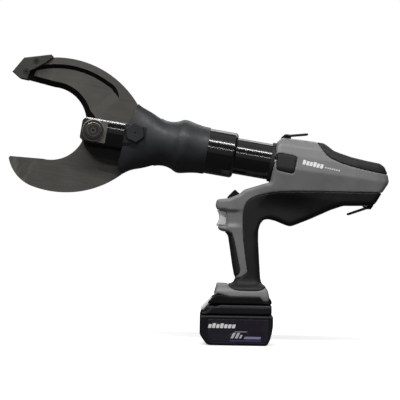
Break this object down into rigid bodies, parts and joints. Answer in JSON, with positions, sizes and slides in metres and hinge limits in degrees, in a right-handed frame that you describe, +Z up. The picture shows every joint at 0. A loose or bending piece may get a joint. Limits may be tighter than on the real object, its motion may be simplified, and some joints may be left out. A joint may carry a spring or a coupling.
{
  "type": "rescue cutter",
  "caption": "Cordless hydraulic cutter: two hooked scissoring blades on a swivelling cylinder head, pistol grip with trigger, slide-on battery pack.",
  "frame": {"origin": "centre of the hand grip, where the tool is held", "axes": "+Z up with the grip upright, +X back away from the blades, +Y across the tool to its far side"},
  "size_m": [0.5922, 0.0838, 0.4456],
  "materials": {
    "blade_steel": "blackened steel, ground marks",
    "guide_steel": "blackened steel",
    "fork_alloy": "dark satin coating",
    "black_alloy": "gloss black anodised",
    "black_steel": "blackened steel",
    "bright_steel": "ground steel",
    "bronze": "machined bronze",
    "alloy": "machined",
    "casing_grey": "fine-textured grey nylon",
    "soft_black": "matte overmould",
    "black_plastic": "fine-textured black nylon",
    "gloss_black": "satin black",
    "trigger_grey": "light grey nylon",
    "seal_rubber": "nitrile",
    "board_green": "circuit board",
    "cell_metal": "cell cans; aluminium stands for their density"
  },
  "bodies": {
    "tool_body": {"casing_left": "casing_grey", "casing_right": "casing_grey", "grip_left": "soft_black", "grip_right": "soft_black", "top_pad": "soft_black", "front_grip": "soft_black", "side_pads": "soft_black", "casing_screws": "black_steel", "battery_shoe": "black_plastic", "shoe_terminals": "bronze", "pump_block": "bright_steel", "swivel_bush": "bronze", "swivel_ring": "black_plastic", "pump_plunger": "bright_steel", "gearbox_housing": "bright_steel", "motor_can": "bright_steel", "motor_end_cap": "bright_steel", "oil_reservoir": "seal_rubber", "control_board": "board_green", "trigger_switch": "black_plastic", "trigger_spring": "bright_steel", "release_valve": "bronze", "top_ring_bracket": "black_steel", "rear_ring_bracket": "black_steel"},
    "head": {"head_fork": "fork_alloy", "cylinder_collar": "black_alloy", "cylinder_tube": "black_alloy", "rod_gland": "bronze", "rod_seal": "seal_rubber", "hex_plug": "fork_alloy", "pivot_bolt": "black_steel", "pivot_nut": "black_steel", "pivot_washer": "black_steel", "keeper_plate": "black_steel", "cylinder_base": "bright_steel", "neck_retainer": "bright_steel", "return_spring": "bright_steel"},
    "ram": {"piston": "alloy", "piston_seal": "seal_rubber", "piston_rod": "bright_steel", "rod_eye": "bright_steel", "drive_pin": "bright_steel"},
    "upper_jaw": {"upper_blade": "blade_steel", "blade_guide": "guide_steel", "guide_screws": "black_steel"},
    "lower_jaw": {"lower_blade": "blade_steel"},
    "trigger_body": {"trigger": "trigger_grey"},
    "release_body": {"release_button": "black_plastic"},
    "battery": {"battery_case": "gloss_black", "battery_cover": "gloss_black", "battery_cells": "cell_metal", "battery_board": "board_green"},
    "latch": {"battery_latch": "casing_grey"},
    "top_ring": {"top_strap_ring": "black_steel"},
    "rear_ring": {"rear_strap_ring": "black_steel"},
    "motor_rotor": {"motor_armature": "bright_steel", "motor_shaft": "bright_steel"},
    "pump_carrier": {"eccentric_shaft": "bright_steel", "eccentric_bearing": "bright_steel", "planet_gears": "bright_steel"}
  },
  "joints": [
    {"name": "head_swivel", "type": "hinge", "parent": "tool_body", "child": "head", "pos_m": [0.04104, 0, 0.13434], "axis": [0.9877, 0, -0.1564], "range_deg": [-175, 175]},
    {"name": "upper_blade_pivot", "type": "hinge", "parent": "head", "child": "upper_jaw", "pos_m": [-0.2365, 0, 0.1783], "axis": [0, -1, 0], "range_deg": [0, 56]},
    {"name": "lower_blade_pivot", "type": "hinge", "parent": "head", "child": "lower_jaw", "pos_m": [-0.2365, 0, 0.1783], "axis": [0, 1, 0], "range_deg": [0, 56]},
    {"name": "ram_slide", "type": "slide", "parent": "head", "child": "ram", "axis": [-0.9877, 0, 0.1564], "range_m": [0, 0.044], "stiffness_N_per_m": 2700, "springref_m": -0.02, "deforming": ["return_spring"]},
    {"name": "trigger_slide", "type": "slide", "parent": "tool_body", "child": "trigger_body", "axis": [1, 0, 0], "range_m": [0, 0.005], "stiffness_N_per_m": 800, "springref_m": -0.003, "deforming": ["trigger_spring"]},
    {"name": "release_slide", "type": "slide", "parent": "tool_body", "child": "release_body", "axis": [0.9219, 0, 0.3875], "range_m": [0, 0.004], "stiffness_N_per_m": 1000, "springref_m": -0.002},
    {"name": "battery_slide", "type": "slide", "parent": "tool_body", "child": "battery", "axis": [-1, 0, 0], "range_m": [0, 0.075]},
    {"name": "battery_latch_slide", "type": "slide", "parent": "battery", "child": "latch", "axis": [0, 0, -1], "range_m": [0, 0.003], "stiffness_N_per_m": 800, "springref_m": -0.002},
    {"name": "top_ring_hinge", "type": "hinge", "parent": "tool_body", "child": "top_ring", "pos_m": [0.0635, 0, 0.1756], "axis": [0, -1, 0], "range_deg": [-8, 165]},
    {"name": "rear_ring_hinge", "type": "hinge", "parent": "tool_body", "child": "rear_ring", "pos_m": [0.1925, 0, 0.0666], "axis": [0, -1, 0], "range_deg": [-6, 150]},
    {"name": "motor_spin", "type": "hinge", "parent": "tool_body", "child": "motor_rotor", "pos_m": [0.04104, 0, 0.13434], "axis": [0.9877, 0, -0.1564], "continuous": true},
    {"name": "carrier_spin", "type": "hinge", "parent": "tool_body", "child": "pump_carrier", "pos_m": [0.04104, 0, 0.13434], "axis": [0.9877, 0, -0.1564], "continuous": true}
  ],
  "couplings": [
    {"joint": "lower_blade_pivot", "follows": "upper_blade_pivot", "ratio": 1},
    {"joint": "ram_slide", "follows": "upper_blade_pivot", "m_per_rad": 0.045018},
    {"joint": "carrier_spin", "follows": "motor_spin", "ratio": 0.176}
  ]
}
